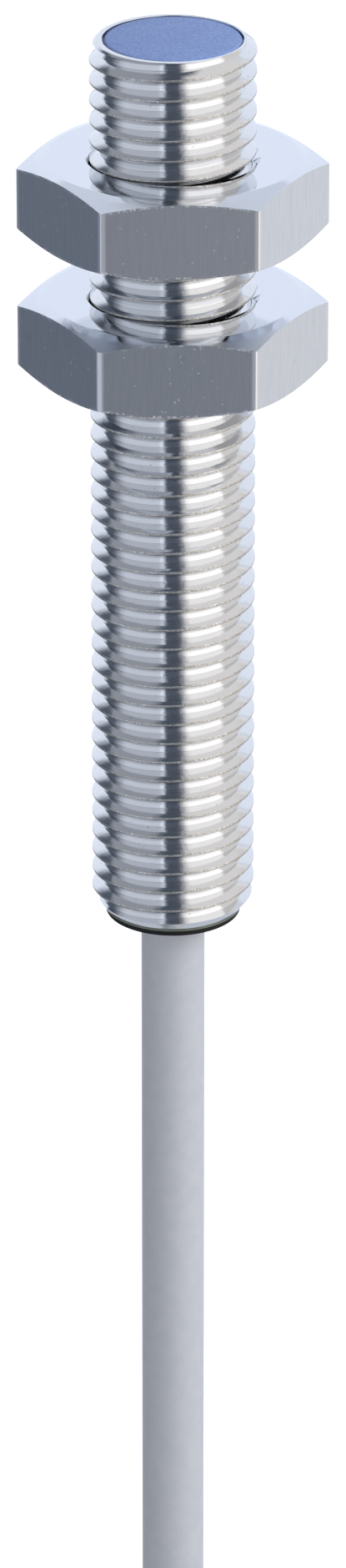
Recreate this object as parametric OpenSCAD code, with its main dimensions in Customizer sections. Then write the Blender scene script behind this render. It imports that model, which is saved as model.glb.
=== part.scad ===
/* [Thread] */
// Outer diameter of the threaded housing
thread_d = 8; // [7.8:0.05:8.2]
// Distance from one thread crest to the next
thread_pitch = 1; // [1:0.05:1.1]
// Width of each thread groove at the crest
groove_w = 0.45; // [0.3:0.05:0.48]
// Depth of each thread groove
groove_depth = 0.5; // [0.3:0.05:0.6]

/* [Housing] */
// Length of the metal housing tube
housing_len = 45; // [44:0.5:46]
// Height of the active face above the middle of the bracket gap
face_z = 11.4; // [11.2:0.1:11.8]
// Diameter of the bore through the housing
bore_d = 6.1; // [6:0.05:6.2]
// Diameter of the metal rim around the sensing cap
rim_d = 7.28; // [7.1:0.02:7.4]
// Diameter at the rear end, where the chamfer stops
rear_d = 6.9; // [6.8:0.05:7.2]

/* [Sensing head] */
// Diameter of the visible disc of the sensing cap
cap_d = 6.7; // [6.6:0.02:6.76]
// Diameter of the ferrite core
core_d = 5.3; // [5:0.05:5.35]
// Depth of the ferrite core from front to back
core_depth = 2.55; // [2.4:0.05:2.6]

/* [Nuts] */
// Width of each nut across its flats
nut_flats = 13; // [12.7:0.1:13.3]
// Thickness of each nut
nut_t = 4; // [3.6:0.1:4.2]
// Gap between the two nuts, which takes the bracket
bracket_gap = 3; // [2.8:0.1:3.4]
// Radial clearance of a nut on the thread crests
nut_clearance = 0.05; // [0.03:0.01:0.08]
// Turn of the front nut about the thread, in degrees
front_nut_turn = 3; // [-30:1:30]
// Turn of the rear nut about the thread, in degrees
rear_nut_turn = 2; // [-30:1:30]

/* [Cable] */
// Outer diameter of the cable
cable_d = 3.15; // [3:0.05:3.3]
// Diameter of one insulated conductor
conductor_d = 1; // [0.9:0.05:1]
// Length of cable sheath below the tied hank
tail_len = 10; // [6:1:20]
// Length of the three loose conductors
lead_len = 22; // [18:1:30]

/* [Hank] */
// Radius of the inner turns at the hank's folds
fold_r = 9.9; // [9.6:0.1:10.2]
// Straight height between the upper and the lower folds
run_len = 54; // [48:1:56]
// Side by side turns in the depth of the hank
turns_deep = 6; // [5:1:7]
// Height of the middle of the hank
hank_z = -129; // [-132:1:-127]
// Width of the tie along the hank
tie_w = 4; // [3:0.5:6]

/* [Hidden] */
$fn = 64;
over = 0.2;                                  // how far a cutter runs past a face

// Housing
thread_r = thread_d / 2;
bore_r = bore_d / 2;
rear_z = face_z - housing_len;
rim_chamfer = thread_r - rim_d / 2;
rear_chamfer_len = 0.7;
seat_gap = 0.03;
seat_r = cap_d / 2 + seat_gap;               // counterbore that the cap's disc sits in
seat_depth = 0.45;
nut_reach = bracket_gap / 2 + nut_t;         // far face of each nut
run_out = 0.8;                               // wider groove just past each nut
run_out_z = nut_reach;
run_out_zone = 0.3;                          // a groove this near that height is a run-out

// Sensing head
cap_skirt_r = bore_r - 0.05;
cap_inner_r = 2.72;
cap_floor = 0.5;
cap_len = 5;
core_front_z = face_z - cap_floor;
core_back_z = core_front_z - core_depth;
core_r = core_d / 2;
core_wall = 0.5;
core_base = 0.75;
post_r = 0.95;
bobbin_r = post_r + 0.1;
bobbin_wall = 0.15;
bobbin_flange_r = core_r - core_wall - 0.05;
bobbin_z = [core_back_z + core_base, core_front_z - 0.15];
winding_r = bobbin_flange_r - 0.05;
coil_wire_r = 0.1;
coil_wire_x = 1.6;

// Circuit board, standing in the plane of X and Z
board_t = 0.6;
board_w = 4.6;
board_z = [-26.3, core_back_z - 0.2];
board_y = board_t / 2;
led_rise = 0.9;                              // middle of the lamp above the board's end

// Rear end: light guide, plug and cable entry end on one plane inside
inner_end_z = -28.4;
guide_wall = 0.45;
guide_lip = 0.18;
guide_lip_r = rear_d / 2 - 0.07;
plug_r = bore_r - guide_wall;
plug_flange_r = guide_lip_r - 0.05;
plug_flange_t = 0.27;
plug_edge = 0.1;
guide_end_z = rear_z - guide_lip;
plug_end_z = guide_end_z - plug_flange_t;

// Conductors, three of them a hair apart round the cable's axis
conductor_r = conductor_d / 2;
hair = 0.02;
conductor_ring = (conductor_d + hair) / sqrt(3);
sheath_bore_r = conductor_ring + conductor_r + hair;
conductor_end_z = board_z[0] - 0.3;
strand_r = 0.15;
strand_end_z = conductor_end_z + 2.2;
strand_y = board_y + strand_r + 2 * hair;    // solder fills the gap to the board
joint_r = 0.35;
joint_len = 1.2;

// Nuts
nut_corner_r = nut_flats / 2 / cos(30);
nut_face_r = 6.1;                            // where the bevel starts
nut_bevel_angle = 20;
nut_bevel = (nut_corner_r + over - nut_face_r) * tan(nut_bevel_angle);
nut_bore_r = thread_r + nut_clearance;
nut_sink = 0.15;                             // countersink at both ends of the bore
nut_z = bracket_gap / 2 + nut_t / 2;

// Cable
cable_r = cable_d / 2;
turn_step = cable_d + 0.05;                  // spacing of turns that lie side by side
cable_route = [
    [0, 0, plug_end_z], [0, 0, -40], [0, 0, -46], [0, 0, -52], [0, 0, -58],
    [0, 0, -64], [0, 0, -69], [0, 0, -73], [0, -0.4, -76.5], [0, -1.9, -80],
    [0, -4.9, -83.6], [0, -7.9, -87.3], [0, -9.4, -90.8], [0, -9.8, -94.3],
    [0, -9.8, -97]
];
tail_x = -5;
tail_y = -(turns_deep / 2 + 0.5) * turn_step;
cable_sides = 8;

// Hank: two layers of turns, drawn in to a waist at the tie
hank_r = fold_r + turn_step + cable_r;
hank_waist = fold_r - turn_step / 2;         // how far the tie draws each side in
hank_front_y = tail_y - cable_r;
hank_back_y = turns_deep / 2 * turn_step;
fold_steps = 12;
side_steps = 12;
tie_t = 0.8;
tie_corner = 3;

tail_top_z = hank_z - run_len / 2 - fold_r - cable_r;
tail_end_z = hank_z - run_len / 2 - hank_r - tail_len;
lead_end_z = tail_end_z - lead_len;
tip_len = 5;
tip_r = 0.4;
lead_steps = 8;
lead_splay = [[0.3, 2], [-2.2, -0.6], [2.4, -0.8]];

function unit(v) = v / norm(v);
function conductor_xy(i) = [
    conductor_ring * cos(90 + 120 * i),
    conductor_ring * sin(90 + 120 * i)
];
// Half width of the hank's outline at a height above its middle
function hank_side(z) = hank_r - hank_waist / 2 * (1 + cos(360 * z / run_len));
function hank_outline() = concat(
    [for (i = [0:fold_steps])
        let (a = 180 * i / fold_steps)
        [hank_r * cos(a), run_len / 2 + hank_r * sin(a)]],
    [for (i = [1:side_steps - 1])
        let (z = run_len / 2 - run_len * i / side_steps)
        [-hank_side(z), z]],
    [for (i = [0:fold_steps])
        let (a = 180 + 180 * i / fold_steps)
        [hank_r * cos(a), -run_len / 2 + hank_r * sin(a)]],
    [for (i = [1:side_steps - 1])
        let (z = -run_len / 2 + run_len * i / side_steps)
        [hank_side(z), z]]
);
// A loose conductor leaves the sheath straight and then leans outward
function lead_route(i) = [
    for (s = [0:lead_steps])
        let (u = s / lead_steps, p = conductor_xy(i))
        [
            tail_x + p[0] + lead_splay[i][0] * u * u,
            tail_y + p[1] + lead_splay[i][1] * u * u,
            tail_end_z - lead_len * u
        ]
];

// Cylinder that stands from one height to another
module post(r, z0, z1) {
    translate([0, 0, z0]) cylinder(r = r, h = z1 - z0);
}

// Tube between two heights
module sleeve(r_out, r_in, z0, z1) {
    difference() {
        post(r_out, z0, z1);
        post(r_in, z0 - over, z1 + over);
    }
}

// Block on the board: side is -1 for the front of the board and 1 for its back
module chip(x, z, size, side) {
    y0 = side < 0 ? -board_y - size[1] : board_y;
    translate([x - size[0] / 2, y0, z - size[2] / 2]) cube(size);
}

// Tube swept along a route, with flat ends square to the route
module swept(route, r) {
    n = len(route);
    dirs = [for (i = [0:n - 1])
        unit(route[min(i + 1, n - 1)] - route[max(i - 1, 0)])];
    rings = [for (i = [0:n - 1])
        let (v = unit(cross(dirs[i], [1, 0, 0])), u = cross(v, dirs[i]))
        for (k = [0:cable_sides - 1])
            route[i] + r * (cos(360 * k / cable_sides) * u + sin(360 * k / cable_sides) * v)];
    sides = [for (i = [0:n - 2], k = [0:cable_sides - 1])
        let (a = i * cable_sides, next = (k + 1) % cable_sides)
        [a + k, a + next, a + next + cable_sides, a + k + cable_sides]];
    start_cap = [[for (k = [0:cable_sides - 1]) cable_sides - 1 - k]];
    end_cap = [[for (k = [0:cable_sides - 1]) (n - 1) * cable_sides + k]];
    polyhedron(points = rings, faces = concat(start_cap, sides, end_cap), convexity = 4);
}

module housing_tube() {
    // grooves in the nuts' stretch and the two free stretches, a pitch apart
    first = ceil((rear_z + rear_chamfer_len) / thread_pitch - 0.5);
    last = floor((face_z - rim_chamfer) / thread_pitch - 1);
    grooves = [for (k = [first:last]) (k + 0.5) * thread_pitch];
    function groove_half(z) = abs(abs(z) - run_out_z) < run_out_zone ? run_out / 2 : groove_w / 2;
    outline = concat(
        [[bore_r, rear_z], [rear_d / 2, rear_z], [thread_r, rear_z + rear_chamfer_len]],
        [for (z = grooves) each [
            [thread_r, z - groove_half(z)],
            [thread_r - groove_depth, z],
            [thread_r, z + groove_half(z)]
        ]],
        [
            [thread_r, face_z - rim_chamfer], [rim_d / 2, face_z],
            [seat_r, face_z], [seat_r, face_z - seat_depth],
            [bore_r, face_z - seat_depth]
        ]
    );
    color("lightsteelblue") rotate_extrude() polygon(outline);
}

module front_cap() {
    color("cornflowerblue") difference() {
        union() {
            post(cap_d / 2, face_z - seat_depth, face_z);
            post(cap_skirt_r, face_z - cap_len, face_z - seat_depth);
        }
        post(cap_inner_r, face_z - cap_len - over, face_z - cap_floor);
    }
}

module ferrite_core() {
    color("dimgray") difference() {
        post(core_r, core_back_z, core_front_z);
        difference() {
            post(core_r - core_wall, core_back_z + core_base, core_front_z + over);
            post(post_r, core_back_z, core_front_z + 2 * over);
        }
        for (s = [-1, 1])
            translate([s * coil_wire_x, -board_y - coil_wire_r, 0])
                post(2 * coil_wire_r, core_back_z - over, core_back_z + core_base + over);
    }
}

module coil_bobbin() {
    color("ivory") {
        difference() {
            union() {
                post(bobbin_r + bobbin_wall, bobbin_z[0], bobbin_z[1]);
                post(bobbin_flange_r, bobbin_z[0], bobbin_z[0] + bobbin_wall);
                post(bobbin_flange_r, bobbin_z[1] - bobbin_wall, bobbin_z[1]);
            }
            post(bobbin_r, bobbin_z[0] - over, bobbin_z[1] + over);
        }
    }
}

module coil_winding() {
    color("chocolate") sleeve(
        winding_r, bobbin_r + bobbin_wall,
        bobbin_z[0] + bobbin_wall, bobbin_z[1] - bobbin_wall
    );
}

module coil_leads() {
    solder_len = 0.6;                        // each lead laps this far over the board
    color("peru") for (s = [-1, 1])
        translate([s * coil_wire_x, -board_y - coil_wire_r, 0])
            post(coil_wire_r, board_z[1] - solder_len, bobbin_z[0]);
}

module circuit_board() {
    color("darkgreen")
        translate([-board_w / 2, -board_y, board_z[0]])
            cube([board_w, board_t, board_z[1] - board_z[0]]);
}

module oscillator_chip() {
    color("black") chip(0, 3, [3, 0.9, 3], -1);
}

module output_transistor() {
    color("black") chip(0, -14, [1.4, 1, 2.9], -1);
}

module protection_diodes() {
    color("black") for (z = [-18, -21.5]) chip(0, z, [1.3, 0.9, 2], 1);
}

module chip_capacitors() {
    color("tan") for (z = [6, -0.5, -4, -10]) chip(-1.5, z, [0.6, 0.6, 1], -1);
}

module chip_resistors() {
    color("dimgray") for (z = [4, 0, -4, -8, -12]) chip(1.4, z, [0.6, 0.4, 1.1], 1);
}

module status_led() {
    color("gold") chip(1.7, board_z[0] + led_rise, [0.8, 0.6, 1.6], -1);
}

module potting_resin() {
    color("gray") difference() {
        post(bore_r, inner_end_z, face_z - cap_len);
        circuit_board();
        oscillator_chip();
        output_transistor();
        protection_diodes();
        chip_capacitors();
        chip_resistors();
        status_led();
        solder_joints();
        conductors_all();
        strands_all();
    }
}

module light_guide() {
    color("gainsboro") difference() {
        union() {
            post(bore_r, rear_z, inner_end_z);
            post(guide_lip_r, guide_end_z, rear_z);
        }
        post(plug_r, guide_end_z - over, inner_end_z + over);
    }
}

module rear_plug() {
    color("black") difference() {
        union() {
            post(plug_r, guide_end_z, inner_end_z);
            post(plug_flange_r, plug_end_z + plug_edge, guide_end_z);
            translate([0, 0, plug_end_z])
                cylinder(r1 = plug_flange_r - plug_edge, r2 = plug_flange_r, h = plug_edge);
        }
        post(cable_r, plug_end_z - over, inner_end_z + over);
    }
}

module cable_entry() {
    color("darkgray") sleeve(cable_r, sheath_bore_r, plug_end_z, inner_end_z);
}

// Insulated conductor from the cable to just short of the board
module conductor(i) {
    p = conductor_xy(i);
    translate([p[0], p[1], 0]) post(conductor_r, plug_end_z, conductor_end_z);
}

module conductors_all() {
    for (i = [0:2]) conductor(i);
}

module conductor_black() { color("black") conductor(0); }

module conductor_brown() { color("saddlebrown") conductor(1); }

module conductor_blue() { color("royalblue") conductor(2); }

// Where a bare strand lies against the board
function strand_at(i) = [conductor_xy(i)[0], i == 0 ? strand_y : -strand_y];

module strands_all() {
    for (i = [0:2])
        translate([strand_at(i)[0], strand_at(i)[1], 0])
            post(strand_r, conductor_end_z, strand_end_z);
}

module wire_strands() { color("orange") strands_all(); }

module solder_joints() {
    color("silver") difference() {
        for (i = [0:2])
            translate([strand_at(i)[0], strand_at(i)[1], 0])
                post(joint_r, strand_end_z - joint_len, strand_end_z - 0.1);
        translate([-board_w / 2, -board_y, board_z[0] - over])
            cube([board_w, board_t, 5]);
        strands_all();
    }
}

// Hexagon nut with a bevel and a countersink at both faces
module nut(turn) {
    bevel_r = nut_corner_r + over;
    rotate([0, 0, turn]) difference() {
        intersection() {
            translate([0, 0, -nut_t / 2]) cylinder(r = nut_corner_r, h = nut_t, $fn = 6);
            rotate_extrude() polygon([
                [0, -nut_t / 2], [nut_face_r, -nut_t / 2], [bevel_r, nut_bevel - nut_t / 2],
                [bevel_r, nut_t / 2 - nut_bevel], [nut_face_r, nut_t / 2], [0, nut_t / 2]
            ]);
        }
        post(nut_bore_r, -nut_t, nut_t);
        for (s = [0, 1]) mirror([0, 0, s])
            translate([0, 0, nut_t / 2 - nut_sink])
                cylinder(r1 = nut_bore_r, r2 = nut_bore_r + 2 * nut_sink, h = 2 * nut_sink);
    }
}

module front_nut() {
    color("silver") translate([0, 0, nut_z]) nut(front_nut_turn);
}

module rear_nut() {
    color("silver") translate([0, 0, -nut_z]) nut(rear_nut_turn);
}

module cable_lead() {
    color("darkgray") swept(cable_route, cable_r);
}

module cable_hank() {
    color("darkgray")
        translate([0, hank_back_y, hank_z])
            rotate([90, 0, 0])
                linear_extrude(hank_back_y - hank_front_y) polygon(hank_outline());
}

// Rectangle with round corners, in the plane of X and Y
module round_rect(x0, x1, y0, y1, r) {
    for (x = [x0 + r, x1 - r], y = [y0 + r, y1 - r]) translate([x, y]) circle(r);
    translate([x0 + r, y0]) square([x1 - x0 - 2 * r, y1 - y0]);
    translate([x0, y0 + r]) square([x1 - x0, y1 - y0 - 2 * r]);
}

module hank_tie() {
    half = hank_side(0);
    color("black") translate([0, 0, hank_z - tie_w / 2]) linear_extrude(tie_w)
        difference() {
            round_rect(-half - tie_t, half + tie_t, hank_front_y - tie_t,
                       hank_back_y + tie_t, tie_corner);
            round_rect(-half, half, hank_front_y, hank_back_y, tie_corner - tie_t);
        }
}

module cable_tail() {
    color("darkgray") translate([tail_x, tail_y, 0]) post(cable_r, tail_end_z, tail_top_z);
}

module lead_black() { color("black") swept(lead_route(0), conductor_r); }

module lead_brown() { color("saddlebrown") swept(lead_route(1), conductor_r); }

module lead_blue() { color("royalblue") swept(lead_route(2), conductor_r); }

// Tinned ends of the loose conductors
module lead_tips() {
    color("silver") for (i = [0:2]) {
        p = lead_route(i)[lead_steps];
        translate([p[0], p[1], p[2] - tip_len]) cylinder(r = tip_r, h = tip_len);
    }
}

housing_tube();
front_cap();
ferrite_core();
coil_bobbin();
coil_winding();
coil_leads();
circuit_board();
oscillator_chip();
output_transistor();
protection_diodes();
chip_capacitors();
chip_resistors();
status_led();
potting_resin();
light_guide();
rear_plug();
cable_entry();
conductor_brown();
conductor_blue();
conductor_black();
wire_strands();
solder_joints();
front_nut();
rear_nut();
cable_lead();
cable_hank();
hank_tie();
cable_tail();
lead_brown();
lead_blue();
lead_black();
lead_tips();
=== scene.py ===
import math

import bmesh
import bpy
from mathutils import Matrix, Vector


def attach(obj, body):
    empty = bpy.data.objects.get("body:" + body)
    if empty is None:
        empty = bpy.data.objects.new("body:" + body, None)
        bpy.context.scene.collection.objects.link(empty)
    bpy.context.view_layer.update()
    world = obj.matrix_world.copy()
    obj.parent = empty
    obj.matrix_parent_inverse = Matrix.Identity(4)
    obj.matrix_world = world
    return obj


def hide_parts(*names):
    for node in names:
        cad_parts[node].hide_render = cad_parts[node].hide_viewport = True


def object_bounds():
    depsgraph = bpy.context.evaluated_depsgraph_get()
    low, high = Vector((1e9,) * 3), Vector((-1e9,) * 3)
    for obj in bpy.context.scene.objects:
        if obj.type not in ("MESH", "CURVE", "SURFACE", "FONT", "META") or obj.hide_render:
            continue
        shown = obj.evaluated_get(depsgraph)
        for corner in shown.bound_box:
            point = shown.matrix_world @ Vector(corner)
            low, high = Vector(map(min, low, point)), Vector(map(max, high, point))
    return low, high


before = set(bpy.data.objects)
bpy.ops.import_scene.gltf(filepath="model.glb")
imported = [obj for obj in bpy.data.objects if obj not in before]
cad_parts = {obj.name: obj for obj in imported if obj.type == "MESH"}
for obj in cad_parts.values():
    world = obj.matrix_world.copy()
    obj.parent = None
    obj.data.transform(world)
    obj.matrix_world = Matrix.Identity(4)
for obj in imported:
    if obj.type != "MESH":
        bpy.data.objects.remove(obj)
CAD_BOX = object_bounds()
MM = 0.001


# ---------------------------------------------------------------- camera and cords

CAMERA_ELEVATION = math.radians(24.2)
CAMERA_DISTANCE = 0.387
CAMERA_TARGET = Vector((0, 0, -0.0273))

CABLE_D = 0.00315
CONDUCTOR_D = 0.001
PLUG_END = (0, 0, -0.03405)
CABLE_ROUTE = [
    PLUG_END, (0, 0, -0.040), (0, 0, -0.046), (0, 0, -0.052), (0, 0, -0.058),
    (0, 0, -0.064), (0, 0, -0.069), (0, 0, -0.073), (0, -0.0004, -0.0765),
    (0, -0.0019, -0.080), (0, -0.0049, -0.0836), (0, -0.0079, -0.0873),
    (0, -0.0094, -0.0908), (0, -0.0098, -0.0943), (0, -0.0098, -0.097),
]
# the cable dives into the hank beside its first turn
HANK_ENTRY = [(-0.0003, -0.0096, -0.104), (-0.0009, -0.0090, -0.113), (-0.0014, -0.0083, -0.122)]

FOLD_R = 0.0099
TURN_STEP = 0.0032
RUN_LEN = 0.054
HANK_Z = -0.129
INNER_TURNS = 6
OUTER_TURNS = 4
OUTER_R = FOLD_R + TURN_STEP
TAIL_X = -0.005
TAIL_Y = -(INNER_TURNS / 2 + 0.5) * TURN_STEP
TAIL_END_Z = HANK_Z - RUN_LEN / 2 - OUTER_R - CABLE_D / 2 - 0.010
LEAD_LEN = 0.022
TIP_LEN = 0.005
STRAND_D = 0.00026
LEAD_SPLAY = {"black": (0.0003, 0.002), "brown": (-0.0022, -0.0006), "blue": (0.0024, -0.0008)}


def add_object(name, data):
    made = bpy.data.objects.new(name, data)
    bpy.context.scene.collection.objects.link(made)
    return made


def add_camera():
    data = bpy.data.cameras.new("camera")
    data.lens = 180
    data.sensor_width = 36
    data.clip_start = 0.01
    data.clip_end = 100
    camera = add_object("camera", data)
    back = Vector((0, -math.cos(CAMERA_ELEVATION), math.sin(CAMERA_ELEVATION)))
    camera.location = CAMERA_TARGET + back * CAMERA_DISTANCE
    camera.rotation_euler = (math.pi / 2 - CAMERA_ELEVATION, 0, 0)
    bpy.context.scene.camera = camera


def ease(t):
    """0 to 1 with a level start and end."""
    return t * t * (3 - 2 * t)


def smooth_line(points, step):
    """Points about step apart on the smooth curve through the given points."""
    points = [Vector(p) for p in points]
    last = len(points) - 1
    along = [0.0]
    for a, b in zip(points, points[1:]):
        along.append(along[-1] + (b - a).length)
    slopes = []
    for i in range(last + 1):
        before, after = max(i - 1, 0), min(i + 1, last)
        slopes.append((points[after] - points[before]) / (along[after] - along[before]))
    line = [points[0]]
    for i in range(last):
        span = along[i + 1] - along[i]
        count = max(1, round(span / step))
        for k in range(1, count + 1):
            t = k / count
            line.append(
                points[i] * (1 - ease(t)) + points[i + 1] * ease(t)
                + slopes[i] * (span * t * (1 - t) ** 2)
                - slopes[i + 1] * (span * t * t * (1 - t))
            )
    return line


def hank_run(radius, start, end, side, y0, y1):
    """One straight run of a turn. Heights count from the hank's middle, where the tie draws it in."""
    steps = 14
    waist = FOLD_R - TURN_STEP / 2
    points = []
    for i in range(steps + 1):
        t = i / steps
        z = start + (end - start) * t
        x = radius - waist / 2 * (1 + math.cos(2 * math.pi * z / RUN_LEN))
        points.append((side * x, y0 + (y1 - y0) * ease(t), HANK_Z + z))
    return points


def hank_fold(r0, r1, y0, y1, side, rise=0.0):
    """Half circle that joins two runs: side is 1 over the top and -1 round the bottom."""
    steps = 12
    points = []
    for i in range(1, steps):
        t = i / steps
        radius = r0 + (r1 - r0) * t
        y = y0 + (y1 - y0) * ease(t) + rise * math.sin(math.pi * t)
        x = side * radius * math.cos(math.pi * t)
        z = side * (RUN_LEN / 2 + radius * math.sin(math.pi * t))
        points.append((x, y, HANK_Z + z))
    return points


def hank_turn(radius, y, top):
    """Down the left, round the bottom and up the right, starting from height top."""
    half = RUN_LEN / 2
    return (
        hank_run(radius, top, -half, -1, y, y)
        + hank_fold(radius, radius, y, y, -1)
        + hank_run(radius, -half, half, 1, y, y)
    )


def cable_points():
    """The whole cable: down from the sensor, ten turns of a tied hank, and the tail below it."""
    half = RUN_LEN / 2
    rows = [(k - (INNER_TURNS - 1) / 2) * TURN_STEP for k in range(INNER_TURNS)]
    points = CABLE_ROUTE + HANK_ENTRY
    for k, y in enumerate(rows):
        points = points + hank_turn(FOLD_R, y, 0 if k == 0 else half)
        if k < INNER_TURNS - 1:
            points = points + hank_fold(FOLD_R, FOLD_R, y, rows[k + 1], 1)
    points = points + hank_fold(FOLD_R, OUTER_R, rows[-1], rows[-1], 1, TURN_STEP / 2)
    for k in range(OUTER_TURNS):
        y, after = rows[-1 - k], rows[-2 - k]
        points = points + hank_turn(OUTER_R, y, half)
        points = points + hank_fold(OUTER_R, OUTER_R, y, after, 1)
    points = points + hank_run(OUTER_R, half, 0, -1, rows[-1 - OUTER_TURNS], TAIL_Y)
    for drop in (0.008, 0.016, 0.024, 0.038):
        points.append((TAIL_X, TAIL_Y, HANK_Z - drop))
    points.append((TAIL_X, TAIL_Y, TAIL_END_Z))
    return points


def tubes(name, lines, diameter, roundness=8):
    """One curve object with a round tube along each line."""
    data = bpy.data.curves.new(name, "CURVE")
    data.dimensions = "3D"
    data.bevel_depth = diameter / 2
    data.bevel_resolution = roundness
    data.use_fill_caps = True
    for line in lines:
        spline = data.splines.new("POLY")
        spline.points.add(len(line) - 1)
        for point, place in zip(spline.points, line):
            point.co = (*place, 1)
        spline.use_smooth = True
    return add_object(name, data)


def conductor_offset(colour):
    """Where a conductor lies in the cable's section."""
    turn = {"black": 90, "brown": 210, "blue": 330}[colour]
    ring = (CONDUCTOR_D + 0.00002) / math.sqrt(3)
    return ring * math.cos(math.radians(turn)), ring * math.sin(math.radians(turn))


def lead_points(colour):
    """A loose conductor leaves the sheath straight and then leans outward."""
    x, y = conductor_offset(colour)
    lean_x, lean_y = LEAD_SPLAY[colour]
    steps = 16
    return [
        (
            TAIL_X + x + lean_x * (i / steps) ** 2,
            TAIL_Y + y + lean_y * (i / steps) ** 2,
            TAIL_END_Z - LEAD_LEN * i / steps,
        )
        for i in range(steps + 1)
    ]


def tip_lines(colour):
    """Seven twisted strands below the end of a lead: one straight, six round it."""
    x, y, z = lead_points(colour)[-1]
    twist_pitch = 0.009
    inside = 0.0002
    steps = 14
    lines = [[(x, y, z + inside), (x, y, z - TIP_LEN)]]
    for k in range(6):
        line = []
        for i in range(steps + 1):
            drop = TIP_LEN * i / steps
            turn = math.radians(60 * k) + 2 * math.pi * drop / twist_pitch
            line.append((
                x + STRAND_D * math.cos(turn), y + STRAND_D * math.sin(turn), z - drop
            ))
        lines.append(line)
    return lines


add_camera()
cable = tubes("cable", [smooth_line(cable_points(), 0.0012)], CABLE_D, 7)
leads = {
    colour: tubes(colour + "_lead", [smooth_line(lead_points(colour), 0.001)], CONDUCTOR_D, 5)
    for colour in LEAD_SPLAY
}
tips = tubes("tinned_tips", [line for c in LEAD_SPLAY for line in tip_lines(c)], STRAND_D, 2)


# ---------------------------------------------------------------- shape tools


def mesh_piece(name, points, faces):
    mesh = bpy.data.meshes.new(name)
    mesh.from_pydata([Vector(p) * MM for p in points], [], faces)
    mesh.update()
    return add_object(name, mesh)


def face_outward(mesh, merge=0.0):
    """Turns every face outward, after joining points closer than merge, in metres."""
    shape = bmesh.new()
    shape.from_mesh(mesh)
    if merge:
        bmesh.ops.remove_doubles(shape, verts=shape.verts, dist=merge)
    bmesh.ops.recalc_face_normals(shape, faces=shape.faces)
    shape.to_mesh(mesh)
    shape.free()


def lathe(name, outline, steps=160):
    """Solid turned about Z from a closed outline of (radius, height), in millimetres."""
    points = []
    faces = []
    count = len(outline)
    for i in range(steps):
        turn = 2 * math.pi * i / steps
        points += [(r * math.cos(turn), r * math.sin(turn), z) for r, z in outline]
        for j in range(count):
            a, b = i * count, (i + 1) % steps * count
            faces.append((a + j, b + j, b + (j + 1) % count, a + (j + 1) % count))
    piece = mesh_piece(name, points, faces)
    face_outward(piece.data, 1e-8)
    return piece


def round_corners(outline, radii, steps=4):
    """The closed outline with an arc of the given radius at each corner, 0 for a sharp one."""
    result = []
    count = len(outline)
    for i, corner in enumerate(outline):
        radius = radii[i % len(radii)]
        if radius == 0:
            result.append(corner)
            continue
        here = Vector(corner)
        back = (Vector(outline[i - 1]) - here).normalized()
        on = (Vector(outline[(i + 1) % count]) - here).normalized()
        half = back.angle(on) / 2
        centre = here + (back + on).normalized() * (radius / math.sin(half))
        first = here + back * (radius / math.tan(half)) - centre
        last = here + on * (radius / math.tan(half)) - centre
        sweep = first.angle(last)
        for k in range(steps + 1):
            t = k / steps
            spot = (first * math.sin((1 - t) * sweep) + last * math.sin(t * sweep)) / math.sin(sweep)
            result.append(tuple(centre + spot))
    return result


def combine(piece, other, operation):
    """Boolean of two closed solids, applied. The second one is used up."""
    step = piece.modifiers.new("combine", "BOOLEAN")
    step.object = other
    step.operation = operation
    step.solver = "MANIFOLD"
    apply_modifiers(piece)
    bpy.data.objects.remove(other)


def apply_modifiers(piece):
    graph = bpy.context.evaluated_depsgraph_get()
    mesh = bpy.data.meshes.new_from_object(piece.evaluated_get(graph))
    piece.modifiers.clear()
    piece.data = mesh


def shade(piece, sharp_angle, weighted=False):
    """Smooth shading, with edges above the angle left sharp."""
    piece.data.shade_smooth()
    piece.data.set_sharp_from_angle(angle=math.radians(sharp_angle))
    if weighted:
        step = piece.modifiers.new("flat faces stay flat", "WEIGHTED_NORMAL")
        step.keep_sharp = True
        step.weight = 100
        apply_modifiers(piece)


# ---------------------------------------------------------------- housing and nuts

THREAD_R = 4.0
PITCH = 1.0
CREST_PHASE = 0.88       # height of the crest on the +X side, within one pitch
CREST_HALF = PITCH / 16  # half the flat on each crest
THREAD_DEPTH = 0.5
ROOT_FILLET = 0.06
FACE_Z = 11.4
REAR_Z = -33.6
BORE_R = 3.05
RIM_R = 3.64
SEAT_R = 3.38
SEAT_DEPTH = 0.45
REAR_R = 3.45
NUT_T = 4.0
NUT_FLATS = 13.0
NUT_Z = 3.5
NUT_FACE_R = 6.1         # flat out to here, bevelled beyond
BEVEL_SLOPE = math.tan(math.radians(20))
NUT_GAP = 0.04
PLUG_TOP_Z = -28.4
PLUG_BODY_R = 2.6
LIP_Z = REAR_Z - 0.18    # rear face of the light ring's lip


def thread_profile():
    """One pitch of the thread as (height, radius), from the middle of a crest: a flat root in fillets."""
    worn = 0.012
    flank = THREAD_DEPTH * math.tan(math.radians(30))
    run = CREST_HALF + flank + ROOT_FILLET * math.tan(math.radians(30))
    low_r = THREAD_R - THREAD_DEPTH + ROOT_FILLET
    profile = [(-0.7 * CREST_HALF, THREAD_R), (0.7 * CREST_HALF, THREAD_R), (CREST_HALF, THREAD_R - worn)]
    for z, first_turn in ((run, -60), (PITCH - run, 0)):
        for k in range(4):
            turn = math.radians(first_turn + 20 * k)
            profile.append((z + ROOT_FILLET * math.sin(turn), low_r - ROOT_FILLET * math.cos(turn)))
    profile.append((PITCH - CREST_HALF, THREAD_R - worn))
    return profile


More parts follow.
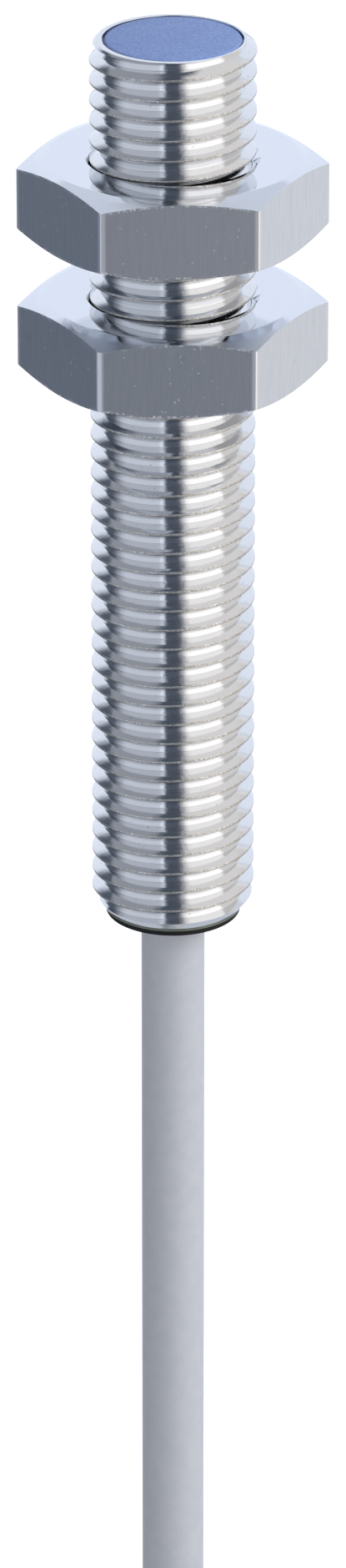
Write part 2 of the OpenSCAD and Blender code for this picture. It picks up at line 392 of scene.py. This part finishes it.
def threaded_rod(name, bottom, top, grow=0.0, steps=160):
    """Right-hand threaded rod that runs at least from bottom to top, in millimetres."""
    profile = thread_profile()
    rows = len(profile)
    first = math.floor(bottom - CREST_PHASE) - 2
    turns = math.ceil(top - bottom) + 4
    column = [
        (first + k + CREST_PHASE + z * PITCH, r + grow) for k in range(turns) for z, r in profile
    ]
    height = len(column)
    points = []
    for i in range(steps):
        turn = 2 * math.pi * i / steps
        points += [
            (r * math.cos(turn), r * math.sin(turn), z + PITCH * i / steps) for z, r in column
        ]
    faces = []
    for i in range(steps - 1):
        a, b = i * height, (i + 1) * height
        faces += [(a + j, b + j, b + j + 1, a + j + 1) for j in range(height - 1)]
    seam = (steps - 1) * height
    faces += [(seam + j, j + rows, j + rows + 1, seam + j + 1) for j in range(height - 1 - rows)]
    # the last pitch of the seam's first column has no partner above it, nor the first one below
    low, high = len(points), len(points) + 1
    points += [(0, 0, column[0][0] - PITCH), (0, 0, column[-1][0] + 2 * PITCH)]
    bottom_edge = list(range(rows, 0, -1)) + [i * height for i in range(steps)] + [rows]
    top_edge = (
        [i * height + height - 1 for i in range(steps)]
        + list(range(seam + height - 2, seam + height - 2 - rows, -1))
    )
    top_edge = top_edge + [top_edge[0]]
    faces += [(low, b, a) for a, b in zip(bottom_edge, bottom_edge[1:])]
    faces += [(high, a, b) for a, b in zip(top_edge, top_edge[1:])]
    return mesh_piece(name, points, faces)


def threaded_housing():
    rear_chamfer, front_chamfer = 0.7, 0.36
    piece = threaded_rod("threaded_housing", REAR_Z, FACE_Z)
    outline = [
        (BORE_R, REAR_Z), (REAR_R, REAR_Z), (THREAD_R, REAR_Z + rear_chamfer),
        (THREAD_R, FACE_Z - front_chamfer),
        (RIM_R, FACE_Z), (SEAT_R, FACE_Z), (SEAT_R, FACE_Z - SEAT_DEPTH),
        (BORE_R, FACE_Z - SEAT_DEPTH),
    ]
    radii = [0.02, 0.05, 0.05, 0.05, 0.12, 0.03, 0, 0]
    combine(piece, lathe("envelope", round_corners(outline, radii)), "INTERSECT")
    shade(piece, 38, weighted=True)
    return piece


def hexagon(radii):
    """Outline of the nut, counter-clockwise from +X, with a round corner of each given radius."""
    corner_r = NUT_FLATS / 2 / math.cos(math.radians(30))
    corners = [
        (corner_r * math.cos(math.radians(60 * k)), corner_r * math.sin(math.radians(60 * k)))
        for k in range(6)
    ]
    return round_corners(corners, radii, 8)


def hex_nut(name, z, turn, radii):
    """Hexagon nut with bevelled faces and a countersunk, threaded bore."""
    half = NUT_T / 2
    section = hexagon(radii)
    count = len(section)
    tilt = math.radians(turn)
    points = [
        (x * math.cos(tilt) - y * math.sin(tilt), x * math.sin(tilt) + y * math.cos(tilt), z + s)
        for s in (-half, half) for x, y in section
    ]
    faces = [(i, (i + 1) % count, (i + 1) % count + count, i + count) for i in range(count)]
    faces += [tuple(range(count - 1, -1, -1)), tuple(range(count, 2 * count))]
    piece = mesh_piece(name, points, faces)

    outer, past = 8.0, 1     # the cutters reach past the nut's faces
    soft, fine_steps = 0.5, 240
    bevel = (outer - NUT_FACE_R) * BEVEL_SLOPE
    blank = [
        (0, z - half), (NUT_FACE_R, z - half), (outer, z - half + bevel),
        (outer, z + half - bevel), (NUT_FACE_R, z + half), (0, z + half),
    ]
    rounded = round_corners(blank, [0, soft, 0, 0, soft, 0])
    combine(piece, lathe("bevel", rounded, fine_steps), "INTERSECT")
    combine(piece, threaded_rod("tap", z - half - past, z + half + past, NUT_GAP), "DIFFERENCE")
    wide, narrow = 4.2, 3.4
    deep = half - (wide - narrow)
    sink = [
        (0, z - half - past), (wide + past, z - half - past), (wide, z - half), (narrow, z - deep),
        (narrow, z + deep), (wide, z + half), (wide + past, z + half + past), (0, z + half + past),
    ]
    combine(piece, lathe("countersink", sink, fine_steps), "DIFFERENCE")
    shade(piece, 11, weighted=True)
    return piece


CORNER = 0.13
WORN_CORNER = 0.34
housing = threaded_housing()
front_nut = hex_nut("front_hex_nut", NUT_Z, 3, [CORNER])
rear_nut = hex_nut("rear_hex_nut", -NUT_Z, 2, [CORNER] * 4 + [WORN_CORNER, CORNER])


# ---------------------------------------------------------------- small turned pieces


def sensing_cap():
    """Flush plastic disc with a hollow skirt below it."""
    disc_r, skirt_r, inner_r = 3.32, 3.0, 2.72
    under_z, end_z = FACE_Z - 0.5, FACE_Z - 5
    outline = [
        (0, under_z), (inner_r, under_z), (inner_r, end_z), (skirt_r, end_z),
        (skirt_r, FACE_Z - SEAT_DEPTH), (disc_r, FACE_Z - SEAT_DEPTH), (disc_r, FACE_Z),
        (0, FACE_Z),
    ]
    piece = lathe("sensing_cap", round_corners(outline, [0, 0, 0, 0, 0, 0.02, 0.18, 0]))
    shade(piece, 30)
    return piece


def light_ring():
    """Clear ring between the housing and the plug, with a small lip outside."""
    lip_r = 3.38
    outline = [
        (PLUG_BODY_R, LIP_Z), (lip_r, LIP_Z), (lip_r, REAR_Z), (BORE_R, REAR_Z),
        (BORE_R, PLUG_TOP_Z), (PLUG_BODY_R, PLUG_TOP_Z),
    ]
    piece = lathe("light_ring", round_corners(outline, [0, 0.05, 0.02, 0, 0, 0]))
    shade(piece, 30)
    return piece


def end_plug():
    """Soft plug that closes the rear end round the cable."""
    flange_r, hole_r = 3.33, 1.575
    end_z = PLUG_END[2] / MM
    outline = [
        (hole_r, end_z), (flange_r, end_z), (flange_r, LIP_Z), (PLUG_BODY_R, LIP_Z),
        (PLUG_BODY_R, PLUG_TOP_Z), (hole_r, PLUG_TOP_Z),
    ]
    piece = lathe("end_plug", round_corners(outline, [0.05, 0.1, 0.03, 0, 0, 0]))
    shade(piece, 30)
    return piece


def belt(corners, reach):
    """Convex loop at a distance outside its corners: points with their outward directions."""
    spots = []
    count = len(corners)
    for i, corner in enumerate(corners):
        before = Vector(corner) - Vector(corners[i - 1])
        after = Vector(corners[(i + 1) % count]) - Vector(corner)
        start = math.atan2(-before.x, before.y)
        turn = (math.atan2(-after.x, after.y) - start) % (2 * math.pi)
        steps = max(2, round(turn / math.radians(12)))
        for k in range(steps + 1):
            angle = start + turn * k / steps
            out = Vector((math.cos(angle), math.sin(angle)))
            spots.append((Vector(corner) + out * reach, out))
    return spots


def hank_strap():
    """Flat cable tie drawn round the waist of the hank, with its lock at the front."""
    width, thickness = 4.0, 0.8
    step = TURN_STEP / MM
    inner, outer, tail_y = step / 2, 1.5 * step, TAIL_Y / MM
    back, front = 2.5 * step, -2.5 * step
    corners = [
        (-outer, back), (TAIL_X / MM, tail_y), (inner, front), (outer, -step / 2), (outer, back)
    ]
    slack = 0.12  # the turns bend away from the waist over the strap's width
    spots = belt(corners, CABLE_D / MM / 2 + slack)
    section = round_corners(
        [(0, -width / 2), (thickness, -width / 2), (thickness, width / 2), (0, width / 2)],
        [0.15, 0.3, 0.3, 0.15], 3,
    )
    count = len(section)
    points = []
    for place, out in spots:
        points += [(*(place + out * u), HANK_Z / MM + v) for u, v in section]
    faces = []
    for i in range(len(spots)):
        a, b = i * count, (i + 1) % len(spots) * count
        faces += [(a + j, b + j, b + (j + 1) % count, a + (j + 1) % count) for j in range(count)]
    strap = mesh_piece("hank_strap", points, faces)
    face_outward(strap.data)
    shade(strap, 40)

    # the lock sits on the slanting stretch between the tail and the inner turns
    along = (Vector(corners[2]) - Vector(corners[1])).normalized()
    out = Vector((along.y, -along.x))
    lock_w, lock_t, lock_h, lock_shift = 5.2, 3.2, 5.6, 1.1
    middle = (Vector(corners[1]) + Vector(corners[2])) / 2
    centre = middle + out * (CABLE_D / MM / 2 + slack + thickness + lock_shift)
    block = bmesh.new()
    bmesh.ops.create_cube(block, size=1)
    for vertex in block.verts:
        x, y, z = vertex.co
        place = centre + along * (x * lock_w) + out * (y * lock_t)
        vertex.co = Vector((place.x, place.y, HANK_Z / MM + z * lock_h)) * MM
    mesh = bpy.data.meshes.new("strap_lock")
    block.to_mesh(mesh)
    block.free()
    lock = add_object("strap_lock", mesh)
    rounded = lock.modifiers.new("round", "BEVEL")
    rounded.width = 0.0006
    rounded.segments = 4
    apply_modifiers(lock)
    shade(lock, 35, weighted=True)
    return strap, lock


cap = sensing_cap()
ring = light_ring()
plug = end_plug()
strap, strap_lock = hank_strap()


# ---------------------------------------------------------------- materials


def new_material(name, metallic=0.0, roughness=0.5):
    material = bpy.data.materials.new(name)
    material.use_nodes = True
    shader = material.node_tree.nodes["Principled BSDF"]
    shader.inputs["Metallic"].default_value = metallic
    shader.inputs["Roughness"].default_value = roughness
    return material, shader


def node(tree, kind, links=None, **settings):
    """A node with its settings, and its inputs linked to sockets or set to values."""
    made = tree.nodes.new(kind)
    for key, value in settings.items():
        setattr(made, key, value)
    for key, value in (links or {}).items():
        if isinstance(value, bpy.types.NodeSocket):
            tree.links.new(value, made.inputs[key])
        else:
            made.inputs[key].default_value = value
    return made


def math_node(tree, operation, a, b=0.0, clamp=False):
    return node(tree, "ShaderNodeMath", {0: a, 1: b}, operation=operation, use_clamp=clamp).outputs[0]


def place_mm(tree, stretch=(1, 1, 1)):
    """Position on the object in millimetres, stretched per axis."""
    spot = node(tree, "ShaderNodeTexCoord").outputs["Object"]
    scale = tuple(s / MM for s in stretch)
    return node(
        tree, "ShaderNodeVectorMath", {0: spot, 1: scale}, operation="MULTIPLY"
    ).outputs[0]


def noise(tree, vector, scale, detail=4.0, rough=0.55):
    made = node(tree, "ShaderNodeTexNoise", {
        "Vector": vector, "Scale": scale, "Detail": detail, "Roughness": rough,
    })
    return made.outputs["Fac"]


def spread(tree, value, low, high, out_low=0.0, out_high=1.0):
    """Maps low..high to out_low..out_high, clamped and smooth."""
    made = node(tree, "ShaderNodeMapRange", {
        "Value": value, "From Min": low, "From Max": high, "To Min": out_low, "To Max": out_high,
    }, interpolation_type="SMOOTHSTEP")
    return made.outputs["Result"]


def mix(tree, factor, a, b):
    made = node(tree, "ShaderNodeMix", {"Factor": factor}, data_type="RGBA")
    for socket, colour in ((made.inputs[6], a), (made.inputs[7], b)):
        if isinstance(colour, bpy.types.NodeSocket):
            tree.links.new(colour, socket)
        else:
            socket.default_value = (*colour, 1)
    return made.outputs[2]


def blend(tree, factor, a, b):
    """Mix of two numbers."""
    links = {0: factor, 2: a, 3: b}
    return node(tree, "ShaderNodeMix", links, data_type="FLOAT").outputs[0]


def bump(tree, height, strength, distance, under=None):
    links = {"Height": height, "Strength": strength, "Distance": distance}
    if under is not None:
        links["Normal"] = under
    return node(tree, "ShaderNodeBump", links).outputs["Normal"]


def radius_of(tree, spot):
    flat = node(tree, "ShaderNodeVectorMath", {0: spot, 1: (1, 1, 0)}, operation="MULTIPLY")
    return node(
        tree, "ShaderNodeVectorMath", {0: flat.outputs[0]}, operation="LENGTH"
    ).outputs["Value"]


def turned_marks(tree, spot):
    """Fine rings left by turning: noise over radius and height, nearly the same all the way round."""
    parts = node(tree, "ShaderNodeSeparateXYZ", {0: spot})
    rings = node(tree, "ShaderNodeCombineXYZ", {
        "X": math_node(tree, "MULTIPLY", radius_of(tree, spot), 14),
        "Y": math_node(tree, "MULTIPLY", parts.outputs["Z"], 14),
        "Z": math_node(tree, "MULTIPLY", parts.outputs["X"], 0.12),
    })
    return noise(tree, rings.outputs[0], 1.0, 3)


def thread_steel():
    """Bright turned stainless steel, with grimy burrs along the thread's crest."""
    material, shader = new_material("thread steel", 1.0)
    tree = material.node_tree
    spot = place_mm(tree)
    radius = radius_of(tree, spot)
    marks = turned_marks(tree, spot)
    patches = noise(tree, spot, 0.8, 3)
    grain = noise(tree, spot, 10, 4, 0.7)
    crest = spread(tree, radius, THREAD_R - 0.015, THREAD_R - 0.001)
    burrs = math_node(tree, "MULTIPLY", crest, spread(tree, grain, 0.42, 0.52))
    specks = spread(tree, noise(tree, spot, 5.5, 2), 0.715, 0.74)
    soil = math_node(tree, "MAXIMUM", burrs, math_node(tree, "MULTIPLY", specks, 0.7))
    clean = mix(tree, patches, (0.75, 0.755, 0.76), (0.80, 0.80, 0.80))
    dirt = mix(tree, spread(tree, grain, 0.54, 0.60), (0.36, 0.33, 0.28), (0.92, 0.89, 0.82))
    tree.links.new(mix(tree, soil, clean, dirt), shader.inputs["Base Color"])
    smooth = spread(tree, marks, 0.3, 0.7, 0.09, 0.15)
    rough = math_node(tree, "ADD", smooth, math_node(tree, "MULTIPLY", crest, 0.2))
    tree.links.new(rough, shader.inputs["Roughness"])
    waves = bump(tree, noise(tree, spot, 1.4, 2), 1.0, 0.00001)
    fine = bump(tree, marks, 0.05, 0.00002, waves)
    tree.links.new(bump(tree, burrs, 0.3, 0.00001, fine), shader.inputs["Normal"])
    return material


def nut_steel():
    """Ground faces with upright streaks on the flats, turned marks on the ends, specks and smudges."""
    material, shader = new_material("nut steel", 1.0)
    tree = material.node_tree
    spot = place_mm(tree)
    normal = node(tree, "ShaderNodeNewGeometry").outputs["True Normal"]
    up = math_node(tree, "ABSOLUTE", node(tree, "ShaderNodeSeparateXYZ", {0: normal}).outputs["Z"])
    side = spread(tree, up, 0.5, 0.7, 1.0, 0.0)
    streaks = noise(tree, place_mm(tree, (7, 7, 0.5)), 1.0, 6, 0.75)
    rings = turned_marks(tree, spot)
    marks = blend(tree, side, rings, streaks)
    specks = spread(tree, noise(tree, spot, 5, 1), 0.75, 0.77)
    radius = radius_of(tree, spot)
    height = node(tree, "ShaderNodeSeparateXYZ", {0: spot}).outputs["Z"]
    from_middle = math_node(tree, "SUBTRACT", math_node(tree, "ABSOLUTE", height), NUT_Z)
    # the bevel's edge comes down with the distance from the axis
    drop = math_node(tree, "MULTIPLY", radius, BEVEL_SLOPE)
    edge = math_node(tree, "SUBTRACT", NUT_T / 2 + NUT_FACE_R * BEVEL_SLOPE, drop)
    below = math_node(tree, "SUBTRACT", edge, math_node(tree, "ABSOLUTE", from_middle))
    clusters = spread(tree, noise(tree, spot, 0.7, 2), 0.45, 0.6, 0.61, 0.50)
    dents = math_node(tree, "SUBTRACT", noise(tree, spot, 7, 3), clusters)
    near_edge = spread(tree, below, 0.13, 0.03)
    nicked = math_node(tree, "MULTIPLY", near_edge, spread(tree, dents, 0.0, 0.04))
    # painted highlight: the rounded upright corners get a lighter colour for their bright edges, and a
    # rougher finish; worn holds these corners and the nicks
    corner = spread(tree, radius, 7.36, 7.44)
    worn = math_node(tree, "MULTIPLY", side, math_node(tree, "MAXIMUM", corner, nicked))
    smudges = math_node(
        tree, "MULTIPLY", spread(tree, noise(tree, spot, 1.1, 5, 0.75), 0.6, 0.75), side
    )
    varied = spread(tree, math_node(tree, "MULTIPLY", streaks, side), 0.3, 0.7)
    clean = mix(tree, varied, (0.77, 0.79, 0.82), (0.67, 0.70, 0.74))
    dull = mix(tree, math_node(tree, "MULTIPLY", smudges, 0.35), clean, (0.42, 0.42, 0.42))
    # lighter colour for the specks, plus painted highlight on the corners and on the nicks near the bevel
    # edge; the nicks' bumps and roughness are real
    light = math_node(tree, "MAXIMUM", specks, worn)
    tree.links.new(mix(tree, light, dull, (0.8, 0.8, 0.82)), shader.inputs["Base Color"])
    low = blend(tree, side, 0.04, 0.27)
    high = blend(tree, side, 0.06, 0.33)
    rough = blend(tree, marks, low, high)
    outside = spread(tree, radius, NUT_FACE_R + 0.3, NUT_FACE_R + 0.6)
    bevel = math_node(tree, "MULTIPLY", outside, math_node(tree, "SUBTRACT", 1.0, side))
    rough = blend(tree, bevel, rough, 0.24)
    rough = blend(tree, worn, rough, 0.42)
    tree.links.new(rough, shader.inputs["Roughness"])
    fine = bump(tree, marks, 0.03, 0.00002)
    nicks = math_node(tree, "MAXIMUM", specks, math_node(tree, "MULTIPLY", nicked, side))
    tree.links.new(bump(tree, nicks, 0.5, 0.00004, fine), shader.inputs["Normal"])
    return material


def grained(name, colour, shade_colour, scale, roughness=0.5, metallic=0.0, gloss=0.5):
    """Moulded or cast material: colour and gloss vary in fine grain over broad patches."""
    material, shader = new_material(name, metallic)
    shader.inputs["Specular IOR Level"].default_value = gloss
    tree = material.node_tree
    spot = place_mm(tree)
    grain = noise(tree, spot, scale, 5)
    patches = noise(tree, spot, scale / 12, 2)
    fine_part = math_node(tree, "MULTIPLY", grain, 0.8)
    broad_part = math_node(tree, "MULTIPLY", patches, 0.2)
    varied = spread(tree, math_node(tree, "ADD", fine_part, broad_part), 0.3, 0.7)
    tree.links.new(mix(tree, varied, shade_colour, colour), shader.inputs["Base Color"])
    rough = spread(tree, grain, 0.3, 0.7, roughness + 0.06, roughness - 0.06)
    tree.links.new(rough, shader.inputs["Roughness"])
    tree.links.new(bump(tree, grain, 0.3, 0.00003), shader.inputs["Normal"])
    return material


def board_laminate():
    """Green solder mask over square copper tracks, with bare pads."""
    material, shader = new_material("board laminate")
    tree = material.node_tree
    spot = place_mm(tree, (1, 0, 1))
    cells = node(tree, "ShaderNodeTexVoronoi", {"Vector": spot, "Scale": 1.1, "Randomness": 0.3},
                 distance="CHEBYCHEV", feature="F1")
    tracks = spread(tree, cells.outputs["Distance"], 0.36, 0.40)
    pads = spread(tree, cells.outputs["Distance"], 0.10, 0.08)
    weave = noise(tree, place_mm(tree, (9, 9, 9)), 1.0, 3)
    mask = mix(tree, weave, (0.008, 0.09, 0.035), (0.012, 0.13, 0.05))
    lit = mix(tree, tracks, mask, (0.03, 0.24, 0.10))
    tree.links.new(mix(tree, pads, lit, (0.75, 0.72, 0.66)), shader.inputs["Base Color"])
    tree.links.new(pads, shader.inputs["Metallic"])
    tree.links.new(spread(tree, weave, 0.3, 0.7, 0.3, 0.42), shader.inputs["Roughness"])
    tree.links.new(bump(tree, tracks, 0.4, 0.00004), shader.inputs["Normal"])
    return material


def wound_copper():
    """Enamelled wire in level layers."""
    material, shader = new_material("wound copper", 0.85)
    tree = material.node_tree
    spot = place_mm(tree)
    height = node(tree, "ShaderNodeSeparateXYZ", {0: spot}).outputs["Z"]
    wires = math_node(tree, "PINGPONG", math_node(tree, "MULTIPLY", height, 10), 0.5)
    spots = noise(tree, spot, 3, 3)
    # painted shade: the grooves between the wires are coloured dark
    groove_painted_shade = spread(tree, wires, 0.0, 0.25)
    bright = mix(tree, spots, (0.50, 0.19, 0.06), (0.72, 0.31, 0.11))
    tree.links.new(mix(tree, groove_painted_shade, (0.12, 0.04, 0.015), bright), shader.inputs["Base Color"])
    tree.links.new(spread(tree, spots, 0.3, 0.7, 0.22, 0.36), shader.inputs["Roughness"])
    tree.links.new(bump(tree, wires, 0.8, 0.00005), shader.inputs["Normal"])
    return material


def clear_plastic():
    """Smoky translucent light guide with faint flow marks."""
    material, shader = new_material("clear plastic", 0.0, 0.25)
    tree = material.node_tree
    flow = noise(tree, place_mm(tree, (1.2, 1.2, 5)), 1.0, 4)
    tree.links.new(mix(tree, flow, (0.09, 0.11, 0.08), (0.19, 0.22, 0.17)), shader.inputs["Base Color"])
    shader.inputs["Transmission Weight"].default_value = 0.35
    tree.links.new(spread(tree, flow, 0.3, 0.7, 0.18, 0.3), shader.inputs["Roughness"])
    tree.links.new(bump(tree, flow, 0.2, 0.00003), shader.inputs["Normal"])
    return material


def sheath_plastic():
    """Grey cable sheath: matt, faintly mottled, with drawn lines too fine to see far off."""
    material, shader = new_material("sheath plastic")
    tree = material.node_tree
    spot = place_mm(tree)
    mottle = noise(tree, spot, 1.4, 6, 0.62)
    grain = noise(tree, spot, 14, 3)
    tint = mix(tree, spread(tree, mottle, 0.35, 0.65), (0.355, 0.37, 0.405), (0.38, 0.39, 0.42))
    tree.links.new(tint, shader.inputs["Base Color"])
    tree.links.new(spread(tree, grain, 0.3, 0.7, 0.46, 0.6), shader.inputs["Roughness"])
    tree.links.new(bump(tree, grain, 0.25, 0.00003), shader.inputs["Normal"])
    return material


def dress(piece, material, slot_name, body="sensor", *nodes):
    """Material, body and the CAD nodes that a new piece stands for. The slot name is not used."""
    piece.data.materials.clear()
    piece.data.materials.append(material)
    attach(piece, body)
    if nodes:
        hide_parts(*nodes)


def dress_node(name, material):
    """New material on a CAD node that stays."""
    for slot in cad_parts[name].material_slots:
        slot.link = "OBJECT"
        slot.material = material


SHEATH = sheath_plastic()
TIN = grained("tinned copper", (0.78, 0.77, 0.74), (0.52, 0.50, 0.47), 12, 0.3, metallic=1.0)
BLACK_PLASTIC = grained("black plastic", (0.009, 0.010, 0.010), (0.005, 0.005, 0.006), 16, 0.6,
                        gloss=0.2)
INSULATION = {
    "brown": grained("brown insulation", (0.16, 0.058, 0.022), (0.11, 0.038, 0.015), 10, 0.4),
    "blue": grained("blue insulation", (0.035, 0.13, 0.50), (0.022, 0.09, 0.38), 10, 0.4),
    "black": grained("black insulation", (0.022, 0.022, 0.024), (0.011, 0.011, 0.012), 10, 0.4),
}

dress(housing, thread_steel(), "steel", "sensor", "housing_tube")
NUT_STEEL = nut_steel()
dress(front_nut, NUT_STEEL, "nut_steel", "front_nut", "front_nut")
dress(rear_nut, NUT_STEEL, "nut_steel", "rear_nut", "rear_nut")
dress(cap, grained("blue cap", (0.25, 0.35, 0.65), (0.17, 0.26, 0.53), 7, 0.62), "cap_plastic",
      "sensor", "front_cap")
dress(ring, clear_plastic(), "guide_plastic", "sensor", "light_guide")
dress(plug, BLACK_PLASTIC, "plug_plastic", "sensor", "rear_plug")
dress(cable, SHEATH, "sheath", "sensor", "cable_lead", "cable_hank", "cable_tail")
TIE_PLASTIC = grained("tie plastic", (0.028, 0.028, 0.030), (0.014, 0.014, 0.015), 7, 0.42)
dress(strap, TIE_PLASTIC, "tie_plastic", "sensor", "hank_tie")
dress(strap_lock, TIE_PLASTIC, "tie_plastic", "sensor")
for colour, lead in leads.items():
    dress(lead, INSULATION[colour], colour + "_insulation", "sensor", "lead_" + colour)
dress(tips, TIN, "tin", "sensor", "lead_tips")

dress_node("ferrite_core", grained("ferrite", (0.055, 0.055, 0.060), (0.030, 0.030, 0.033), 18, 0.55))
dress_node("coil_bobbin", grained("bobbin plastic", (0.72, 0.68, 0.56), (0.62, 0.57, 0.45), 9, 0.5))
dress_node("coil_winding", wound_copper())
BARE_COPPER = grained("bare copper", (0.70, 0.32, 0.13), (0.5, 0.2, 0.07), 8, 0.28, metallic=1.0)
dress_node("coil_leads", BARE_COPPER)
dress_node("circuit_board", board_laminate())
CHIP_BODY = grained("chip epoxy", (0.032, 0.032, 0.034), (0.016, 0.016, 0.018), 22, 0.6)
for name in ("oscillator_chip", "output_transistor", "protection_diodes"):
    dress_node(name, CHIP_BODY)
dress_node("chip_capacitors", grained("capacitor body", (0.46, 0.32, 0.19), (0.34, 0.22, 0.12), 12, 0.45))
dress_node("chip_resistors", BLACK_PLASTIC)
dress_node("status_led", grained("led lens", (0.90, 0.70, 0.22), (0.78, 0.55, 0.13), 8, 0.2))
dress_node("potting_resin", grained("potting resin", (0.060, 0.062, 0.065), (0.034, 0.035, 0.037), 5, 0.3))
dress_node("cable_entry", SHEATH)
for colour in INSULATION:
    dress_node("conductor_" + colour, INSULATION[colour])
dress_node("wire_strands", TIN)
dress_node("solder_joints", TIN)


# ---------------------------------------------------------------- studio

# The studio as the object sees it. Angles are in degrees round the upright axis, from the
# camera's side and positive towards +X. A soft box runs from one angle to another, and each of its
# two edges fades over so many degrees to both sides. Dark screens stand between the boxes.
COOL = (0.93, 1.0, 1.15)
NEUTRAL = (1.02, 1.0, 1.0)
SOFT_BOXES = [
    # start, fade, end, fade, light, tint
    (-97, 18, -20, 2, 0.7, COOL),        # left
    (-20, 2, -14, 3, 1.0, COOL),         # narrow strip left of the middle
    (17, 10, 85, 3, 1.3, NEUTRAL),       # right
    (85, 3, 130, 3, 0.75, NEUTRAL),      # right, further back
    (130, 6, 223, 8, 0.95, COOL),        # backdrop
]
UPPER_BOXES = [
    (-135, 10, -45, 15, 0.35, COOL),
    (20, 14, 130, 8, 0.8, NEUTRAL),
    (130, 8, 228, 8, 0.75, COOL),
]
SCREENS = (0.09, 0.11, 0.15)
UPPER_SCREENS = (0.07, 0.09, 0.12)
UPPER_START = 35         # degrees above the horizon
ROOF_START = 76


def ring_of_boxes(tree, angle, boxes, screens):
    """Light by direction round the object. A box past 180 degrees goes on from -180."""
    total = screens
    for start, fade_in, end, fade_out, light, tint in boxes:
        added = tuple(light * t - s for t, s in zip(tint, screens))
        for turn in (0, 360) if end > 180 else (0,):
            rise = spread(tree, angle, start - turn - fade_in, start - turn + fade_in)
            fall = spread(tree, angle, end - turn + fade_out, end - turn - fade_out)
            inside = math_node(tree, "MULTIPLY", rise, fall)
            total = node(
                tree, "ShaderNodeVectorMath", {0: inside, 1: added, 2: total}, operation="MULTIPLY_ADD"
            ).outputs[0]
    return total


def add_world():
    world = bpy.data.worlds.new("studio")
    world.use_nodes = True
    tree = world.node_tree
    tree.nodes.clear()
    direction = node(tree, "ShaderNodeTexCoord").outputs["Generated"]
    parts = node(tree, "ShaderNodeSeparateXYZ", {0: direction})
    x, y, z = parts.outputs
    around = math_node(tree, "ARCTAN2", x, math_node(tree, "MULTIPLY", y, -1))
    angle = math_node(tree, "DEGREES", around)
    height = math_node(tree, "DEGREES", math_node(tree, "ARCSINE", z))
    dimming = spread(tree, height, -40, -26, 0.65, 1.0)  # the boxes are dimmer towards the floor
    lower = node(tree, "ShaderNodeVectorMath", {
        0: ring_of_boxes(tree, angle, SOFT_BOXES, SCREENS), 1: dimming,
    }, operation="MULTIPLY").outputs[0]
    upper = ring_of_boxes(tree, angle, UPPER_BOXES, UPPER_SCREENS)
    walls = mix(tree, spread(tree, height, UPPER_START - 2, UPPER_START + 2), lower, upper)
    seen = mix(tree, spread(tree, height, ROOF_START - 6, ROOF_START + 6), walls, UPPER_SCREENS)
    # matt surfaces take less from the studio, and their shading from the key light
    matt = node(tree, "ShaderNodeLightPath").outputs["Is Diffuse Ray"]
    strength = math_node(tree, "SUBTRACT", 1.0, math_node(tree, "MULTIPLY", matt, 0.25))
    studio = node(tree, "ShaderNodeBackground", {"Color": seen, "Strength": strength})
    plain = node(tree, "ShaderNodeBackground", {"Color": (1, 1, 1, 1), "Strength": 1.0})
    is_camera = node(tree, "ShaderNodeLightPath").outputs["Is Camera Ray"]
    both = node(tree, "ShaderNodeMixShader", {
        0: is_camera, 1: studio.outputs[0], 2: plain.outputs[0],
    })
    node(tree, "ShaderNodeOutputWorld", {"Surface": both.outputs[0]})
    bpy.context.scene.world = world


def add_floor():
    """Large white floor. Seen from below it is clear, and polished metal doesn't mirror it."""
    size = 30
    z = CAD_BOX[0].z - 0.004
    mesh = bpy.data.meshes.new("floor")
    corners = [(-size, -size, z), (size, -size, z), (size, size, z), (-size, size, z)]
    mesh.from_pydata(corners, [], [(0, 1, 2, 3)])
    floor = add_object("floor", mesh)
    material, shader = new_material("floor", 0.0, 0.9)
    tree = material.node_tree
    shader.inputs["Base Color"].default_value = (0.82, 0.82, 0.82, 1)
    shader.inputs["Emission Color"].default_value = (1, 1, 1, 1)
    shader.inputs["Emission Strength"].default_value = 0.62
    clear = node(tree, "ShaderNodeBsdfTransparent")
    behind = node(tree, "ShaderNodeNewGeometry").outputs["Backfacing"]
    both = node(tree, "ShaderNodeMixShader", {0: behind, 1: shader.outputs[0], 2: clear.outputs[0]})
    tree.links.new(both.outputs[0], tree.nodes["Material Output"].inputs["Surface"])
    mesh.materials.append(material)
    floor.visible_glossy = False


def add_softbox(name, place, size, power):
    """Area light that faces the object and isn't mirrored in the metal."""
    data = bpy.data.lights.new(name, "AREA")
    data.shape = "SQUARE"
    data.size = size
    data.energy = power
    light = add_object(name, data)
    light.location = place
    light.rotation_euler = (CAMERA_TARGET - Vector(place)).to_track_quat("-Z", "Y").to_euler()
    light.visible_camera = False
    light.visible_glossy = False


add_world()
add_floor()
add_softbox("key", (0.55, -0.30, 0.45), 0.4, 4.5)
bpy.context.scene.view_settings.view_transform = "Standard"
